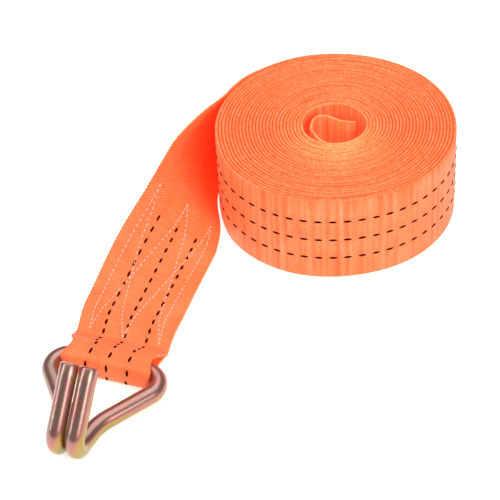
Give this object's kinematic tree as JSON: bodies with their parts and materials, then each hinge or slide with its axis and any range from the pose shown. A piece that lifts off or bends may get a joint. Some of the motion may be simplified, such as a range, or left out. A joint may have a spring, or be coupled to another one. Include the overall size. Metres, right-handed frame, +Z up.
{
  "type": "ratchet tie down strap",
  "caption": "Rolled lashing strap of flat woven webbing, with a double-J wire hook held in a sewn eye at its outer end.",
  "frame": {"origin": "on the surface the strap stands on, on the axis of the roll", "axes": "+Z up along the axis of the roll; the sewn end with the hook lies out towards -X and -Y"},
  "size_m": [0.2133, 0.2489, 0.0506],
  "materials": {
    "webbing": "woven fluorescent orange polyester",
    "sewing_thread": "bonded polyester thread",
    "tracer_yarn": "dark marker yarn",
    "hook_plating": "yellow iridescent zinc plate"
  },
  "bodies": {
    "webbing": {"webbing_roll": "webbing", "webbing_core_end": "webbing", "webbing_tail": "webbing", "webbing_lower_ply": "webbing", "webbing_eye": "webbing", "webbing_lap": "webbing", "needle_thread": "sewing_thread", "bobbin_thread": "sewing_thread", "tracer_left": "tracer_yarn", "tracer_middle": "tracer_yarn", "tracer_right": "tracer_yarn"},
    "hook": {"hook_wire": "hook_plating"}
  },
  "joints": [
    {"name": "hook_pivot", "type": "hinge", "parent": "webbing", "child": "hook", "pos_m": [-0.11768, -0.12451, 0.00798], "axis": [-0.9417, 0.3335, 0.0436], "range_deg": [0, 120]}
  ]
}
